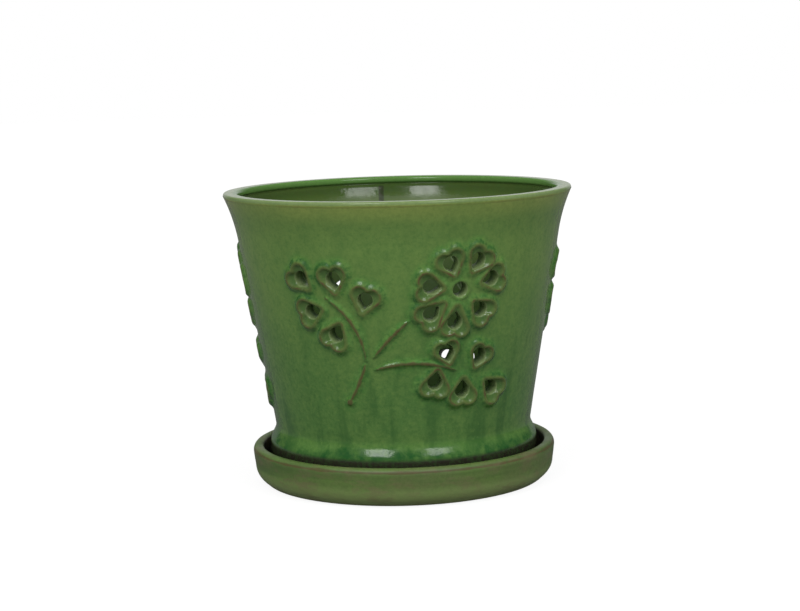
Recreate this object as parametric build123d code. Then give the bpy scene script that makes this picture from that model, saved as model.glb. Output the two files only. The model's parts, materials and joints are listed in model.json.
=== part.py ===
"""Pierced orchid pot standing loose in its round saucer.

Millimetres, +Z up. The origin lies on the table under the middle of the pot, the front of the pot faces -Y.
The wall ornament is a flower and two leafy sprigs, moulded three times round the pot in one with the wall,
the two at the back by hand a little lower than the front one.
Every petal and leaf is a raised heart with a teardrop air slot through the wall.
Heights of the pot are counted from its own stand ring, which rests on the saucer's floor.
"""
import os
from math import asin, atan, atan2, cos, degrees, hypot, pi, radians, sin

from build123d import *

# Pot, outside
POT_HEIGHT = 172.7
RIM_RADIUS = 107.5
NECK_RADIUS = 79.8
NECK_HEIGHT = 30.0
FLARE_REACH = 8.3
FLARE_HEIGHT = 28.7
FLARE_FACETS = 2
LIP_EDGE_DROP = 2.0
LIP_LEAN = 0.3
LIP_ROUND = 1.2
LIP_FACETS = 2
LIP_BEVEL = 2.0
FOOT_STEP = 3.2
FOOT_TOP_HEIGHT = 24.0
FOOT_SIDE_HEIGHT = 10.0
FOOT_BEVEL = 2.6
FOOT_SHOULDER_BEVEL = 1.4
NECK_BEVEL = 1.4
STAND_INSET = 6.5

# Pot, inside and underneath
WALL_THICKNESS = 7.5
LIP_THICKNESS = 9.0
LIP_DEPTH = 3.4
GROOVE_DEPTH = 1.4
GROOVE_HEIGHT = 2.3
FLOOR_THICKNESS = 7.0
FLOOR_CLEARANCE = 5.0
DRAIN_RADIUS = 10.0
STAND_RING_WIDTH = 10.5
NOTCH_COUNT = 3
NOTCH_TURN = 30.0
NOTCH_WIDTH = 14.0
NOTCH_HEIGHT = 3.5

# Saucer, sized round the pot's foot
FOOT_CLEARANCE = 4.6
SAUCER_WALL = 6.8
SAUCER_HEIGHT = 23.8
SAUCER_FLOOR_THICKNESS = 6.0
SAUCER_RECESS = 2.0
SAUCER_BASE_INSET = 8.4
SAUCER_RING_WIDTH = 12.0
SAUCER_SIDE_LEAN = 1.9
SAUCER_SIDE_HEIGHT = 5.5
SAUCER_SIDE_BEVEL = 2.8
SAUCER_EDGE_DROP = 2.6
SAUCER_EDGE_INSET = 1.6
SAUCER_EDGE_BEVEL = 1.2
SAUCER_RIM_BEVEL = 1.4
SAUCER_INNER_LEAN = 2.4

# Heart pads, slots and stems of the relief
LEAF_RISE = 2.5
LEAF_TIP = 10.0
LOBE_RADIUS = 5.1
LOBE_OVERLAP = 1.2
LOBE_CENTRE = 3.9
LOBE_FACETS = 3
SLOT_RADIUS = 4.8
SLOT_POINT = 2.2
SLOT_CENTRE = 0.6
SLOT_FACETS = 4
EYE_RADIUS = 4.7
EYE_FACETS = 6
STEM_RISE = 1.8
STEM_WIDTH = 2.6
STEM_FACETS = 4
RELIEF_ROOT = 4.0

# Ornament: degrees round the pot from the front, height from the middle of the cone, way the lobes point
MOTIF_DROPS = (0.0, 4.0, 6.0)
FLOWER_AZIMUTH = 21.5
FLOWER_HEIGHT = 32.5
PETALS = ((112, 16.5), (57, 19.5), (14, 21.0), (-43, 18.5), (-97, 19.0), (219, 21.5), (172, 17.5))
LEFT_LEAVES = ((-36.5, 39.5, 135), (-23.5, 39.5, 97), (-12.5, 27.5, 73), (-33.5, 20.5, 195), (-24.5, 7.5, 242))
RIGHT_LEAVES = ((13.0, -22.0, 260), (24.5, -28.0, 270), (38.0, -28.5, -42))
SMALL_LEAVES = ((17.3, -5.0, 106), (31.0, -8.8, 66))
SMALL_LEAF_SHARE = 0.88
# Each stem: start and end as degrees and height, and how far its middle bows to its left
STEMS = (((-27.5, 29.5), (-13.6, -8.5), 5.6), ((-10.3, -6.0), (3.0, 15.5), 0.8),
         ((-10.3, -13.5), (21.0, -15.5), 4.5), ((-13.7, -10.0), (-21.6, -34.0), 1.0))

# Sizes that follow from those above
CONE_TOP_RADIUS = RIM_RADIUS - FLARE_REACH
CONE_TOP_HEIGHT = POT_HEIGHT - FLARE_HEIGHT
LIP_EDGE_HEIGHT = POT_HEIGHT - LIP_EDGE_DROP
CONE_SLOPE = (CONE_TOP_RADIUS - NECK_RADIUS) / (CONE_TOP_HEIGHT - NECK_HEIGHT)
CONE_LEAN = atan(CONE_SLOPE)
LIP_TANGENT = 2 * atan2(FLARE_REACH, LIP_EDGE_HEIGHT - CONE_TOP_HEIGHT) - CONE_LEAN
WALL_ACROSS = WALL_THICKNESS / cos(CONE_LEAN)
MOTIF_HEIGHT = (NECK_HEIGHT + CONE_TOP_HEIGHT) / 2
FLOOR_TOP = FLOOR_CLEARANCE + FLOOR_THICKNESS
FOOT_RADIUS = NECK_RADIUS + FOOT_STEP
STAND_RADIUS = FOOT_RADIUS - STAND_INSET
STAND_INNER_RADIUS = STAND_RADIUS - STAND_RING_WIDTH
LOBE_SPREAD = LOBE_RADIUS - LOBE_OVERLAP
SAUCER_RIM_INNER = FOOT_RADIUS + FOOT_CLEARANCE
SAUCER_RADIUS = SAUCER_RIM_INNER + SAUCER_WALL
SAUCER_FLOOR_TOP = SAUCER_RECESS + SAUCER_FLOOR_THICKNESS


def wall_radius(height):
    """Outer radius of the conical wall at a height."""
    return NECK_RADIUS + CONE_SLOPE * (height - NECK_HEIGHT)


def turned(edges, bevels=()):
    """Revolve a closed outline of radius and height about Z, with some of its corners bevelled first."""
    outline = make_face(edges)
    for radius, height, size in bevels:
        corner = outline.vertices().sort_by_distance((radius, 0, height))[0]
        outline = chamfer(corner, size)
    return revolve(outline, Axis.Z)


def path(*points):
    """Straight run of an outline through radius and height pairs."""
    return Polyline(*[(radius, 0, height) for radius, height in points])


def flare(start, end):
    """Run that leaves the cone smoothly and bends outward to the lip in short straight lengths."""
    arc = TangentArc((start[0], 0, start[1]), (end[0], 0, end[1]), tangent=(CONE_SLOPE, 0, 1))
    return Polyline(*[arc @ (step / FLARE_FACETS) for step in range(FLARE_FACETS + 1)])


def envelope(rise):
    """Solid bounded by the outside of the wall, grown by the rise of the relief."""
    out = rise * cos(CONE_LEAN)
    drop = rise * sin(CONE_LEAN)
    neck = (NECK_RADIUS + out, NECK_HEIGHT - drop)
    top = (CONE_TOP_RADIUS + out, CONE_TOP_HEIGHT - drop)
    lip = (RIM_RADIUS + rise * cos(LIP_TANGENT), LIP_EDGE_HEIGHT - rise * sin(LIP_TANGENT))
    return turned([path((0, neck[1]), neck, top), flare(top, lip), path(lip, (0, lip[1]), (0, neck[1]))])


def pot_body():
    """Turned body: stand ring, bullnose foot, neck, cone, flared lip, inside groove, floor and drain hole."""
    lip_inner = RIM_RADIUS - LIP_THICKNESS
    lip_outer = RIM_RADIUS - LIP_LEAN
    lip_under = POT_HEIGHT - LIP_DEPTH
    floor_radius = wall_radius(FLOOR_TOP) - WALL_ACROSS
    neck = (NECK_RADIUS, NECK_HEIGHT)
    cone_top = (CONE_TOP_RADIUS, CONE_TOP_HEIGHT)
    cone_top_inside = (CONE_TOP_RADIUS - WALL_ACROSS, CONE_TOP_HEIGHT)
    lip_edge = (RIM_RADIUS, LIP_EDGE_HEIGHT)
    groove_end = (lip_inner, lip_under - GROOVE_HEIGHT)
    outside = path((STAND_INNER_RADIUS, 0), (STAND_RADIUS, 0), (FOOT_RADIUS, FOOT_SIDE_HEIGHT),
                   (FOOT_RADIUS, FOOT_TOP_HEIGHT), neck, cone_top)
    crest = arc_points((lip_outer - LIP_ROUND, POT_HEIGHT - LIP_ROUND), LIP_ROUND, 0, pi / 2, LIP_FACETS)
    lip = path(lip_edge, *crest, (lip_inner + LIP_BEVEL, POT_HEIGHT),
               (lip_inner, POT_HEIGHT - LIP_BEVEL), (lip_inner, lip_under),
               (lip_inner + GROOVE_DEPTH, lip_under - GROOVE_HEIGHT / 2), groove_end)
    floor = path(cone_top_inside, (floor_radius, FLOOR_TOP), (DRAIN_RADIUS, FLOOR_TOP),
                 (DRAIN_RADIUS, FLOOR_CLEARANCE), (STAND_INNER_RADIUS, FLOOR_CLEARANCE), (STAND_INNER_RADIUS, 0))
    edges = [outside, flare(cone_top, lip_edge), lip, flare(cone_top_inside, groove_end), floor]
    bevels = ((FOOT_RADIUS, FOOT_SIDE_HEIGHT, FOOT_BEVEL), (FOOT_RADIUS, FOOT_TOP_HEIGHT, FOOT_SHOULDER_BEVEL),
              (NECK_RADIUS, NECK_HEIGHT, NECK_BEVEL))
    return turned(edges, bevels)


def wall_plane(azimuth, height, aim=90.0, out=0.0):
    """Plane square to the wall, with its Y axis turned to the aim (90 degrees is straight up the wall)."""
    turn = radians(azimuth)
    square = Vector(cos(CONE_LEAN) * sin(turn), -cos(CONE_LEAN) * cos(turn), -sin(CONE_LEAN))
    along = Vector(cos(turn), sin(turn), 0)
    upward = square.cross(along)
    radius = wall_radius(height)
    spot = Vector(radius * sin(turn), -radius * cos(turn), height) + square * out
    side = along * sin(radians(aim)) - upward * cos(radians(aim))
    return Plane(origin=spot, x_dir=side, z_dir=square)


def arc_points(centre, radius, start, end, count):
    """Points on an arc, from one angle to another in radians, both ends included."""
    angles = [start + (end - start) * step / count for step in range(count + 1)]
    return [(centre[0] + radius * cos(angle), centre[1] + radius * sin(angle)) for angle in angles]


def heart_face(share=1.0):
    """Heart with its point down: two hand-cut round lobes, a notch between them and straight sides."""
    reach = hypot(LOBE_SPREAD, LOBE_CENTRE + LEAF_TIP)
    lean = atan2(LOBE_SPREAD, LOBE_CENTRE + LEAF_TIP) + asin(LOBE_RADIUS / reach)
    notch_rise = (LOBE_RADIUS ** 2 - LOBE_SPREAD ** 2) ** 0.5
    notch_angle = atan2(notch_rise, -LOBE_SPREAD)
    lobe = arc_points((LOBE_SPREAD, LOBE_CENTRE), LOBE_RADIUS, -lean, notch_angle, LOBE_FACETS)
    other = [(-x, y) for x, y in reversed(lobe[:-1])]
    outline = [(0, -LEAF_TIP)] + lobe + other
    return make_face(Polyline(*[(x * share, y * share) for x, y in outline], close=True))


def slot_face():
    """Teardrop with its point down."""
    reach = SLOT_RADIUS + SLOT_POINT
    lean = asin(SLOT_RADIUS / reach)
    bowl = arc_points((0, SLOT_CENTRE), SLOT_RADIUS, -lean, pi + lean, SLOT_FACETS)
    return make_face(Polyline((0, SLOT_CENTRE - reach), *bowl, close=True))


def petal_places(middle):
    """Azimuth, height and aim of the petals round the flower's eye."""
    places = []
    for aim, reach in PETALS:
        height = middle + FLOWER_HEIGHT + reach * sin(radians(aim)) * cos(CONE_LEAN)
        azimuth = FLOWER_AZIMUTH + degrees(reach * cos(radians(aim)) / wall_radius(height))
        places.append((azimuth, height, aim))
    return places


def leaf_places(leaves, middle):
    """Azimuth, height and aim of leaves, with the height counted from the stand ring."""
    return [(azimuth, middle + height, aim) for azimuth, height, aim in leaves]


def leaf_pad(place, share=1.0):
    """Raised flat-topped heart rooted in the wall."""
    foot = wall_plane(*place, -RELIEF_ROOT)
    return extrude(foot * heart_face(share), RELIEF_ROOT + LEAF_RISE)


def leaf_slot(place):
    """Air slot straight through pad and wall."""
    mouth = wall_plane(*place, 2 * LEAF_RISE)
    return extrude(mouth * slot_face(), -2 * (LEAF_RISE + WALL_THICKNESS))


def flower_eye(middle):
    """Round air hole in the middle of the flower."""
    mouth = wall_plane(FLOWER_AZIMUTH, middle + FLOWER_HEIGHT, 90, 2 * LEAF_RISE)
    return extrude(mouth * RegularPolygon(EYE_RADIUS, EYE_FACETS), -2 * (LEAF_RISE + WALL_THICKNESS))


def stem_face(half, bow):
    """Bowed sliver that tapers to a point at both ends."""
    heights = [half * (2 * step / STEM_FACETS - 1) for step in range(STEM_FACETS + 1)]
    swell = [1 - (height / half) ** 2 for height in heights]
    outer = [(-(bow + STEM_WIDTH / 2) * share, height) for share, height in zip(swell, heights)]
    inner = [(-(bow - STEM_WIDTH / 2) * share, height) for share, height in zip(swell, heights)]
    return make_face(Polyline(*outer, *reversed(inner[1:-1]), close=True))


def stem_ridge(start, end, bow, middle, skin):
    """Thin tapering ridge bowed to one side between two places on the wall."""
    azimuth = (start[0] + end[0]) / 2
    height = middle + (start[1] + end[1]) / 2
    run = radians(end[0] - start[0]) * wall_radius(height)
    climb = (end[1] - start[1]) / cos(CONE_LEAN)
    foot = wall_plane(azimuth, height, degrees(atan2(climb, run)), -RELIEF_ROOT)
    return extrude(foot * stem_face(hypot(run, climb) / 2, bow), 3 * RELIEF_ROOT) & skin


def drain_notch(turn):
    """Gap through the stand ring that lets water out into the saucer."""
    gap = Box(4 * STAND_RING_WIDTH, NOTCH_WIDTH, 2 * NOTCH_HEIGHT)
    return Rot(0, 0, turn) * Pos(STAND_RADIUS - STAND_RING_WIDTH, 0, 0) * gap


def turns(count, first=0.0):
    """Even turns round the pot in degrees."""
    return [first + 360.0 * step / count for step in range(count)]


def motif(middle, skin):
    """Raised pieces and slots of one flower with its two sprigs, about a middle height on the front of the pot."""
    large = petal_places(middle) + leaf_places(LEFT_LEAVES + RIGHT_LEAVES, middle)
    small = leaf_places(SMALL_LEAVES, middle)
    relief = [leaf_pad(place) for place in large] + [leaf_pad(place, SMALL_LEAF_SHARE) for place in small]
    relief += [stem_ridge(start, end, bow, middle, skin) for start, end, bow in STEMS]
    slots = [leaf_slot(place) for place in large + small] + [flower_eye(middle)]
    return relief, slots


def build_pot():
    """Turned body with the relief fused on and the slots cut through, lifted onto the saucer's floor."""
    skin = envelope(STEM_RISE)
    raised, cut = [], []
    for turn, drop in zip(turns(len(MOTIF_DROPS)), MOTIF_DROPS):
        relief, slots = motif(MOTIF_HEIGHT - drop, skin)
        raised += [Rot(0, 0, turn) * piece for piece in relief]
        cut += [Rot(0, 0, turn) * piece for piece in slots]
    cut += [drain_notch(turn) for turn in turns(NOTCH_COUNT, NOTCH_TURN)]
    return Pos(0, 0, SAUCER_FLOOR_TOP) * (pot_body() + raised - cut)


def build_saucer():
    """Turned dish with a recessed underside and a rounded rim."""
    base_radius = SAUCER_RADIUS - SAUCER_BASE_INSET
    ring_inner = base_radius - SAUCER_RING_WIDTH
    side = (SAUCER_RADIUS - SAUCER_SIDE_LEAN, SAUCER_SIDE_HEIGHT)
    edge = (SAUCER_RADIUS, SAUCER_HEIGHT - SAUCER_EDGE_DROP)
    crest = (SAUCER_RADIUS - SAUCER_EDGE_INSET, SAUCER_HEIGHT)
    floor_radius = SAUCER_RIM_INNER - SAUCER_INNER_LEAN
    outline = path((0, SAUCER_RECESS), (ring_inner, SAUCER_RECESS), (ring_inner, 0), (base_radius, 0), side, edge,
                   crest, (SAUCER_RIM_INNER + SAUCER_RIM_BEVEL, SAUCER_HEIGHT),
                   (SAUCER_RIM_INNER, SAUCER_HEIGHT - SAUCER_RIM_BEVEL), (floor_radius, SAUCER_FLOOR_TOP),
                   (0, SAUCER_FLOOR_TOP), (0, SAUCER_RECESS))
    return turned([outline], bevels=((*side, SAUCER_SIDE_BEVEL), (*crest, SAUCER_EDGE_BEVEL)))


def write_part(name, shape):
    """Write one piece as parts/NAME.step."""
    shape.label = name
    export_step(shape, os.path.join("parts", name + ".step"))


os.makedirs("parts", exist_ok=True)
write_part("pot", build_pot())
write_part("saucer", build_saucer())
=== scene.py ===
# Looks of a glazed orchid pot with pierced leaf relief, standing loose in its glazed saucer.
import json
from collections import namedtuple
from math import asin, atan, atan2, cos, degrees, hypot, pi, radians, sin

import bpy
import numpy as np
from mathutils import Matrix, Vector


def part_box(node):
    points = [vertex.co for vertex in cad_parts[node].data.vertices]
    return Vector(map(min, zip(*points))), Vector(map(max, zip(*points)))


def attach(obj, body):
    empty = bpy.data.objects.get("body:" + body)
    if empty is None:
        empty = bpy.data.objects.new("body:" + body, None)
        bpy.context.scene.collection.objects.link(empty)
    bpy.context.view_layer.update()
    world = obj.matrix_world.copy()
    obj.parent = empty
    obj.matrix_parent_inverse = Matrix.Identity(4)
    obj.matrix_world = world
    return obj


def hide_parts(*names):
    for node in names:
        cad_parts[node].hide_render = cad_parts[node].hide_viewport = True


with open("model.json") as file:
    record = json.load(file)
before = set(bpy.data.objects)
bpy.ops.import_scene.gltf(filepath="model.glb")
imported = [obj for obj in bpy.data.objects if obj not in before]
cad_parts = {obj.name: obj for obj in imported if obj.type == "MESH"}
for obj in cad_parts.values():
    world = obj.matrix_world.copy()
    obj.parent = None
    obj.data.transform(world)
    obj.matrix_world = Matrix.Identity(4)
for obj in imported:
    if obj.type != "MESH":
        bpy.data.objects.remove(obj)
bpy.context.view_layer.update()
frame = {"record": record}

# Lengths are in millimetres, heights of the pot are counted from its stand ring
MM = 0.001
POT_LOW, POT_HIGH = (np.array(corner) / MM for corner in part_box("pot"))
SAUCER_RADIUS, _, SAUCER_HEIGHT = np.array(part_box("saucer")[1]) / MM
DRAIN = next(mount for mount in frame["record"]["mounts"] if mount["name"] == "drain_hole")

BASE = POT_LOW[2]
POT_HEIGHT = POT_HIGH[2] - POT_LOW[2]
RIM_RADIUS = POT_HIGH[0]
WALL = 7.5
CONE_FOOT_RADIUS = 79.8
CONE_FOOT_HEIGHT = 30.0
CONE_START_HEIGHT = 36.0
NECK_RADIUS = 79.2
NECK_HEIGHT = 27.0
NECK_EASE = 2.4
FOOT_RADIUS = 83.0
FOOT_SIDE_HEIGHT = 10.0
FOOT_SIDE_EASE = 4.0
FOOT_TOP_HEIGHT = 19.0
FOOT_TOP_EASE = 2.0
STAND_RADIUS = 76.5
STAND_EASE = 1.6
STAND_INNER_RADIUS = 66.0
STAND_BEVEL = 1.0
NOTCH_COUNT = 3
NOTCH_START = 120.0
NOTCH_WIDTH = 14.0
NOTCH_HEIGHT = 3.5
NOTCH_EASE = 0.6
FLOOR_CLEARANCE = 5.0
FLOOR_TOP = 12.0
FLOOR_EASE = 8.0
RECESS_EASE = 2.0
DRAIN_RADIUS = DRAIN["dims"]["r_mm"]
DRAIN_EASE = 1.3
FLARE_REACH = 8.3
FLARE_HEIGHT = 28.7
LIP_EDGE_DROP = 2.0
LIP_LEAN = 0.3
LIP_OUTER_EASE = 1.2
LIP_THICKNESS = 9.0
LIP_INNER_EASE = 2.4
LIP_DEPTH = 3.4
LIP_UNDER_EASE = 0.7
GROOVE_DEPTH = 1.4
GROOVE_HEIGHT = 2.3
GROOVE_EASE = 0.6
# Unevenness of the hand-finished wall, which grows between two heights.
# Its waves: strength, waves round the pot, climb in radians a millimetre, start in radians
WOBBLE = 0.12
WOBBLE_HEIGHTS = (20, 45)
WOBBLE_WAVES = ((1.0, 2, 0, 0.6), (0.6, 3, 1 / 37, 1.9), (0.4, 5, -1 / 23, 0), (0.3, 7, 1 / 14, 0.8))

LIP_INNER_RADIUS = RIM_RADIUS - LIP_THICKNESS
LIP_UNDER = POT_HEIGHT - LIP_DEPTH
CONE_TOP_RADIUS = RIM_RADIUS - FLARE_REACH
CONE_TOP_HEIGHT = POT_HEIGHT - FLARE_HEIGHT
CONE_SLOPE = (CONE_TOP_RADIUS - CONE_FOOT_RADIUS) / (CONE_TOP_HEIGHT - CONE_FOOT_HEIGHT)
CONE_LEAN = atan(CONE_SLOPE)
MOTIF_HEIGHT = (CONE_FOOT_HEIGHT + CONE_TOP_HEIGHT) / 2

# Saucer
# Corners of its section from the foot ring to the floor: inset from its radius, height, reach of the curve
SAUCER_CORNERS = ((20.4, 2.0, 0.8), (20.4, 0, 0.6), (8.4, 0, 1.2), (1.9, 5.5, 4.2),
                  (0, SAUCER_HEIGHT - 2.6, 1.6), (1.6, SAUCER_HEIGHT, 1.3), (6.4, SAUCER_HEIGHT, 1.6),
                  (9.2, BASE, 3.5))
# Radius of the small discs that close its middle
SAUCER_MIDDLE = 2.0
# Unevenness of the saucer: throwing marks and an oval outside a radius, and a warp of the edge above a height
THROWING_MARK = 0.03
SAUCER_OVAL = 0.12
SAUCER_OUTSIDE = (84, 90)
SAUCER_WARP = 0.15
SAUCER_WARP_HEIGHTS = (10, 20)

# Relief: hearts, slots and stems
MOTIF_DROPS = (0.0, 4.0, 6.0)
MOTIF_COUNT = len(MOTIF_DROPS)
HEART_RISE = 2.3
CREST_SHARE = 0.95
CREST_HALF_WIDTH = 1.3
SKIRT_HALF_WIDTH = 2.5
TIP_LOSS = 0.45
TIP_SPAN = (4, -8)
HEART_TIP = 10.0
HEART_ROUND = 2.0
LOBE_RADIUS = 5.1
LOBE_SPREAD = 3.9
LOBE_CENTRE = 3.9
DISH_DEPTH = 0.05
DISH_EDGE = 0.5
SLOT_RADIUS = 4.7
SLOT_POINT = 2.2
SLOT_CENTRE = 0.6
SLOT_ROUND = 1.0
# Rows of points through a slot: share of the wall, and how far the slot narrows there
SLOT_ROWS = ((0.10, 0.22), (0.3, 0.35), (0.65, 0.35), (0.92, 0.2))
# Distance from the heart's crest that the walls of a slot are given
SLOT_HEART = -2.0
EYE_RADIUS = 4.6
EYE_RING_RISE = 0.9
EYE_RING_REACH = 1.0
EYE_RING_HALF_WIDTH = 0.8
STEM_RISE = 1.5
STEM_HALF_WIDTH = 1.8
STEM_TAPER = 0.75
KNOB_RADIUS = 0.8
# Distance of points that no form of the relief is near
FAR = 50.0
# Masks on the points of the pot: distances from the forms of the relief, and the share of the inside
MASKS = ("heart", "slot", "stem", "inside")
# Shares of the lip's thickness from its outer edge between which the inside starts
INSIDE_START = (0.5, 0.75)
# Ornament: degrees round the pot from the front, height from the middle of the cone, way the lobes point.
# Petals: way the lobes point, distance from the flower's eye, length of the tip
FLOWER = (21.5, 32.5)
PETALS = ((112, 16.5, 9.0), (57, 19.5, 9.5), (14, 21.0, 9.5), (-43, 18.5, 9.0), (-97, 19.0, 12.5),
          (219, 21.5, 13.0), (172, 17.5, 9.5))
LEAVES = ((-36.5, 39.5, 135), (-23.5, 39.5, 97), (-12.5, 27.5, 73), (-33.5, 20.5, 195), (-24.5, 7.5, 242),
          (13.0, -22.0, 260), (24.5, -28.0, 270), (38.0, -28.5, -42))
SMALL_LEAVES = ((17.3, -5.0, 106), (31.0, -8.8, 66))
SMALL_SHARE = 0.88
# Each stem: start and end as degrees and height, and how far its middle bows to its left
STEMS = (((-27.5, 29.5), (-13.6, -8.5), 5.6), ((-10.3, -6.0), (3.0, 15.5), 0.8),
         ((-10.3, -13.5), (21.0, -15.5), 4.5), ((-13.7, -10.0), (-21.6, -34.0), 1.0))
KNOB = (-21.4, -33.4)

# Fineness of the meshes, and the reach round a form within which the grid is fitted to it and measured
COLUMNS = 690
MOTIF_COLUMNS = COLUMNS // MOTIF_COUNT
SAUCER_COLUMNS = 240
ROW_STEP = 0.8
FLARE_STEP = 1.3
LIP_STEP = 0.55
FLOOR_STEP = 2.2
SAUCER_STEP = 0.9
EASE_POINTS = 9
FLARE_POINTS = 40
TIP_POINTS = 7
LOBE_POINTS = 14
SLOT_POINTS = 20
EYE_POINTS = 24
SNAP_REACH = 16.0
MEASURE_REACH = 24.0

# Section of the pot, with the rows of its two conical walls, and of the outer one with the flare above it
Section = namedtuple("Section", "points outer inner wall")
# A petal or leaf on the wall, and an outline on the wall
Place = namedtuple("Place", "azimuth height aim share point")
Form = namedtuple("Form", "azimuth height outline")


def smooth(low, high, value):
    """Soft step from 0 at low to 1 at high."""
    share = np.clip((value - low) / (high - low), 0, 1)
    return share * share * (3 - 2 * share)


def cone_radius(height):
    """Outer radius of the conical wall."""
    return CONE_FOOT_RADIUS + CONE_SLOPE * (height - CONE_FOOT_HEIGHT)


def run_lengths(points):
    """Length along a polyline from its start to each of its points."""
    return np.concatenate([[0], np.cumsum(np.hypot(*np.diff(points, axis=0).T))])


def resampled(points, step):
    """Points evenly spaced along a polyline."""
    points = np.array(points, float)
    along = run_lengths(points)
    even = np.linspace(0, along[-1], max(2, round(along[-1] / step) + 1))
    return np.stack([np.interp(even, along, points[:, axis]) for axis in (0, 1)], 1)


def eased_run(corners, step):
    """Even points along straight lines with softened corners: radius, height and reach of each curve."""
    spots = [np.array(corner[:2], float) for corner in corners]
    points = [spots[0]]
    for before, spot, after, corner in zip(spots, spots[1:], spots[2:], corners[1:]):
        start = spot + (before - spot) / np.hypot(*(before - spot)) * corner[2]
        end = spot + (after - spot) / np.hypot(*(after - spot)) * corner[2]
        for t in np.linspace(0, 1, EASE_POINTS):
            points.append((1 - t) ** 2 * start + 2 * t * (1 - t) * spot + t * t * end)
    return resampled(points + [spots[-1]], step)


def flare_run(start, end):
    """Even points on the arc that leaves the cone smoothly and bends outward."""
    rise = np.array(end) - np.array(start)
    turn = 2 * (atan2(rise[0], rise[1]) - CONE_LEAN)
    size = np.hypot(*rise) / (2 * sin(turn / 2))
    leans = CONE_LEAN + turn * np.linspace(0, 1, FLARE_POINTS)
    radii = start[0] + size * (cos(CONE_LEAN) - np.cos(leans))
    heights = start[1] + size * (np.sin(leans) - sin(CONE_LEAN))
    return resampled(np.stack([radii, heights], 1), FLARE_STEP)


def foot_run(cone_start):
    """Outside from the stand ring round the foot and the neck to the cone."""
    return eased_run([(STAND_INNER_RADIUS + STAND_BEVEL, 0, 0), (STAND_RADIUS, 0, STAND_EASE),
                      (FOOT_RADIUS, FOOT_SIDE_HEIGHT, FOOT_SIDE_EASE),
                      (FOOT_RADIUS, FOOT_TOP_HEIGHT, FOOT_TOP_EASE),
                      (NECK_RADIUS, NECK_HEIGHT, NECK_EASE), (*cone_start, 0)], ROW_STEP)


def lip_run(lip_edge, groove_end):
    """Lip from its outer edge over the top and the bead to the lower end of the groove."""
    return eased_run([(*lip_edge, 0), (RIM_RADIUS - LIP_LEAN, POT_HEIGHT, LIP_OUTER_EASE),
                      (LIP_INNER_RADIUS, POT_HEIGHT, LIP_INNER_EASE),
                      (LIP_INNER_RADIUS, LIP_UNDER, LIP_UNDER_EASE),
                      (LIP_INNER_RADIUS + GROOVE_DEPTH, LIP_UNDER - GROOVE_HEIGHT / 2, GROOVE_EASE),
                      (*groove_end, 0)], LIP_STEP)


def floor_run(cone_end):
    """Inside from the cone over the floor, through the drain hole and under the floor to the stand ring."""
    floor_radius = cone_radius(FLOOR_TOP) - WALL / cos(CONE_LEAN)
    return eased_run([(*cone_end, 0), (floor_radius, FLOOR_TOP, FLOOR_EASE),
                      (DRAIN_RADIUS, FLOOR_TOP, DRAIN_EASE),
                      (DRAIN_RADIUS, FLOOR_CLEARANCE, DRAIN_EASE),
                      (STAND_INNER_RADIUS, FLOOR_CLEARANCE, RECESS_EASE),
                      (STAND_INNER_RADIUS, STAND_BEVEL, 0)], FLOOR_STEP)


def pot_section():
    """Closed section of the pot, up the outside and down the inside."""
    cone_start = (cone_radius(CONE_START_HEIGHT), CONE_START_HEIGHT)
    cone_top = (CONE_TOP_RADIUS, CONE_TOP_HEIGHT)
    lip_edge = (RIM_RADIUS, POT_HEIGHT - LIP_EDGE_DROP)
    groove_end = (LIP_INNER_RADIUS, LIP_UNDER - GROOVE_HEIGHT)
    cone = resampled([cone_start, cone_top], ROW_STEP)
    flare = flare_run(cone_top, lip_edge)
    cone_inside = (cone - WALL * np.array([cos(CONE_LEAN), -sin(CONE_LEAN)]))[::-1]
    flare_inside = flare_run(cone_inside[0], groove_end)[::-1]
    before_cone = [foot_run(cone_start)]
    before_inside = before_cone + [cone, flare, lip_run(lip_edge, groove_end), flare_inside]
    runs = before_inside + [cone_inside, floor_run(cone_inside[-1])]
    outer_start = sum(len(run) - 1 for run in before_cone)
    inner_start = sum(len(run) - 1 for run in before_inside)
    outer = slice(outer_start, outer_start + len(cone))
    inner = slice(inner_start, inner_start + len(cone))
    wall = slice(outer.start, outer.stop + len(flare) - 1)
    points = np.concatenate(runs[:1] + [run[1:] for run in runs[1:]])
    return Section(points, outer, inner, wall)


def turned_outline(points, aim):
    """Outline turned so that its Y axis points along the aim, in degrees from the way round the pot."""
    turn = radians(aim)
    points = np.array(points)
    return np.stack([points[:, 0] * sin(turn) + points[:, 1] * cos(turn),
                     points[:, 1] * sin(turn) - points[:, 0] * cos(turn)], 1)


def arc_points(centre, radius, start, end, count):
    """Points on an arc between two angles in radians."""
    turns = np.linspace(start, end, count)
    return [(centre[0] + radius * cos(turn), centre[1] + radius * sin(turn)) for turn in turns]


def rounded_tip(tip, lean, size):
    """Round lower end of an outline whose straight sides lean by the same angle from its Y axis."""
    return arc_points((0, tip + size / sin(lean)), size, pi + lean, 2 * pi - lean, TIP_POINTS)


def heart_outline(share, point):
    """Crest of a raised heart with its point down, just inside the edge of its pad."""
    size = share * CREST_SHARE
    reach = hypot(LOBE_SPREAD, LOBE_CENTRE + point)
    lean = atan2(LOBE_SPREAD, LOBE_CENTRE + point) + asin(LOBE_RADIUS / reach)
    notch = atan2((LOBE_RADIUS ** 2 - LOBE_SPREAD ** 2) ** 0.5, -LOBE_SPREAD)
    lobe = arc_points((LOBE_SPREAD, LOBE_CENTRE), LOBE_RADIUS, -lean, notch, LOBE_POINTS)
    tip = rounded_tip(-point, lean, HEART_ROUND)
    outline = tip + lobe + [(-x, y) for x, y in reversed(lobe[:-1])]
    return [(x * size, y * size) for x, y in outline]


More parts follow.
